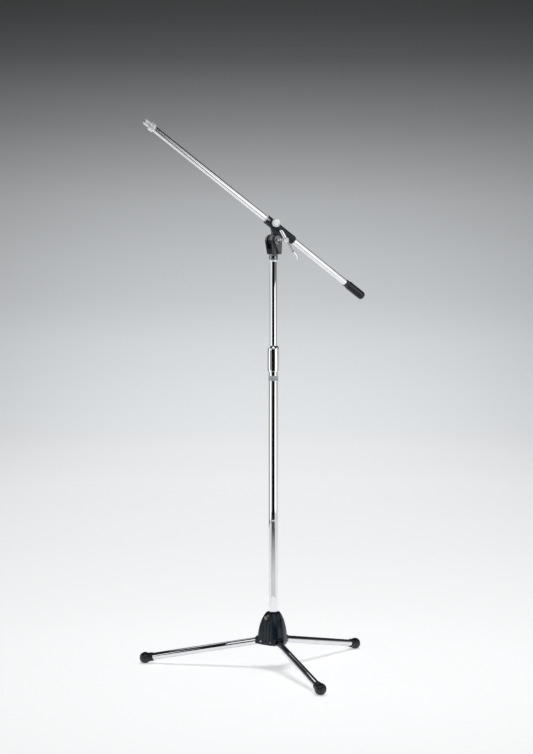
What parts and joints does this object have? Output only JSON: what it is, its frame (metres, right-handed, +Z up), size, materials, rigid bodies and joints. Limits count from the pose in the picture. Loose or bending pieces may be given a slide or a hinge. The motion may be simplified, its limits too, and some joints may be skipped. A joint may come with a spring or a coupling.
{
  "type": "boom microphone stand",
  "caption": "Floor microphone stand with a folding tripod base, telescopic chrome mast with twist clutch, and a clamped tilting boom with grip and threaded tip.",
  "frame": {"origin": "on the mast's axis at the flat underside of the lower tube's end plug, 62 mm above the floor", "axes": "+Z up along the mast; the boom lies in the XZ plane with its microphone end toward -X and up; the tilt handle and boom knob face -Y"},
  "size_m": [0.7139, 0.5896, 1.4111],
  "materials": {
    "chrome_plate": "polished chrome plate",
    "plated_steel": "satin zinc plate",
    "black_casting": "satin black die casting",
    "black_plastic": "matte black nylon",
    "black_rubber": "matte black rubber",
    "pale_plastic": "natural nylon",
    "brass_insert": "plain brass"
  },
  "bodies": {
    "base": {"base_hub": "black_casting", "hub_bush": "black_plastic", "clamp_insert": "brass_insert", "leg_pin_1": "plated_steel", "leg_pin_2": "plated_steel", "leg_pin_3": "plated_steel"},
    "base_clamp": {"base_clamp_screw": "chrome_plate"},
    "lower_mast": {"lower_tube": "chrome_plate", "tube_end_plug": "black_plastic", "plain_band": "plated_steel", "clutch_collar": "plated_steel", "clutch_collet": "black_plastic"},
    "clutch": {"clutch_sleeve": "chrome_plate", "clutch_cap": "chrome_plate"},
    "mast_guide": {"guide_bush": "black_plastic"},
    "upper_mast": {"upper_tube": "chrome_plate", "top_insert": "chrome_plate", "lock_collar": "black_casting", "tilter_yoke": "black_casting", "friction_disc_front": "black_rubber", "friction_disc_rear": "black_rubber", "handle_washer": "chrome_plate", "tilt_nut": "plated_steel"},
    "tilt_bolt": {"tilt_bolt": "chrome_plate"},
    "slide_bar": {"slide_bar": "chrome_plate", "bar_cap_upper": "chrome_plate", "bar_cap_lower": "chrome_plate"},
    "boom_clamp": {"boom_clamp": "black_casting", "pressure_pad": "brass_insert"},
    "boom_knob": {"boom_knob": "chrome_plate", "knob_screw": "plated_steel"},
    "boom_liner": {"boom_liner": "pale_plastic"},
    "boom": {"boom_tube": "chrome_plate", "boom_grip": "black_rubber", "tip_adapter": "chrome_plate"},
    "leg_1": {"leg_tube_1": "chrome_plate", "leg_knuckle_1": "black_plastic", "foot_1": "black_rubber"},
    "leg_2": {"leg_tube_2": "chrome_plate", "leg_knuckle_2": "black_plastic", "foot_2": "black_rubber"},
    "leg_3": {"leg_tube_3": "chrome_plate", "leg_knuckle_3": "black_plastic", "foot_3": "black_rubber"}
  },
  "joints": [
    {"name": "leg_1_fold", "type": "hinge", "parent": "base", "child": "leg_1", "pos_m": [0.02828, 0.01001, 0.01], "axis": [-0.3338, 0.9426, 0], "range_deg": [0, 79.6]},
    {"name": "leg_2_fold", "type": "hinge", "parent": "base", "child": "leg_2", "pos_m": [-0.02281, 0.01948, 0.01], "axis": [-0.6494, -0.7604, 0], "range_deg": [0, 79.6]},
    {"name": "leg_3_fold", "type": "hinge", "parent": "base", "child": "leg_3", "pos_m": [-0.00547, -0.0295, 0.01], "axis": [0.9833, -0.1822, 0], "range_deg": [0, 79.6]},
    {"name": "base_clamp_turn", "type": "hinge", "parent": "base", "child": "base_clamp", "pos_m": [0, 0, 0.0715], "axis": [-0.9426, -0.3338, 0], "range_deg": [0, 360]},
    {"name": "base_slide", "type": "slide", "parent": "base", "child": "lower_mast", "axis": [0, 0, -1], "range_m": [0, 0.3]},
    {"name": "clutch_turn", "type": "hinge", "parent": "lower_mast", "child": "clutch", "pos_m": [0, 0, 0.708], "axis": [0, 0, 1], "range_deg": [0, 180]},
    {"name": "mast_raise", "type": "slide", "parent": "lower_mast", "child": "mast_guide", "axis": [0, 0, 1], "range_m": [-0.21, 0.36]},
    {"name": "mast_swivel", "type": "hinge", "parent": "mast_guide", "child": "upper_mast", "pos_m": [0, 0, 0.288], "axis": [0, 0, 1], "continuous": true},
    {"name": "boom_tilt", "type": "hinge", "parent": "upper_mast", "child": "boom_clamp", "pos_m": [0, 0, 1.049], "axis": [0, 1, 0], "range_deg": [-124.35, 55.65]},
    {"name": "tilt_handle_turn", "type": "hinge", "parent": "upper_mast", "child": "tilt_bolt", "pos_m": [0, 0, 1.049], "axis": [0, -1, 0], "range_deg": [0, 360]},
    {"name": "bar_slide", "type": "slide", "parent": "tilt_bolt", "child": "slide_bar", "axis": [-0.5592, 0, 0.829], "range_m": [0, 0.028]},
    {"name": "boom_knob_turn", "type": "hinge", "parent": "boom_clamp", "child": "boom_knob", "pos_m": [-0.00615, 0, 1.09317], "axis": [0, -1, 0], "range_deg": [0, 360]},
    {"name": "boom_roll", "type": "hinge", "parent": "boom_clamp", "child": "boom_liner", "pos_m": [0.01862, 0, 1.07625], "axis": [-0.8256, 0, 0.5642], "continuous": true},
    {"name": "boom_slide", "type": "slide", "parent": "boom_liner", "child": "boom", "axis": [-0.8256, 0, 0.5642], "range_m": [-0.385, 0.185]}
  ]
}
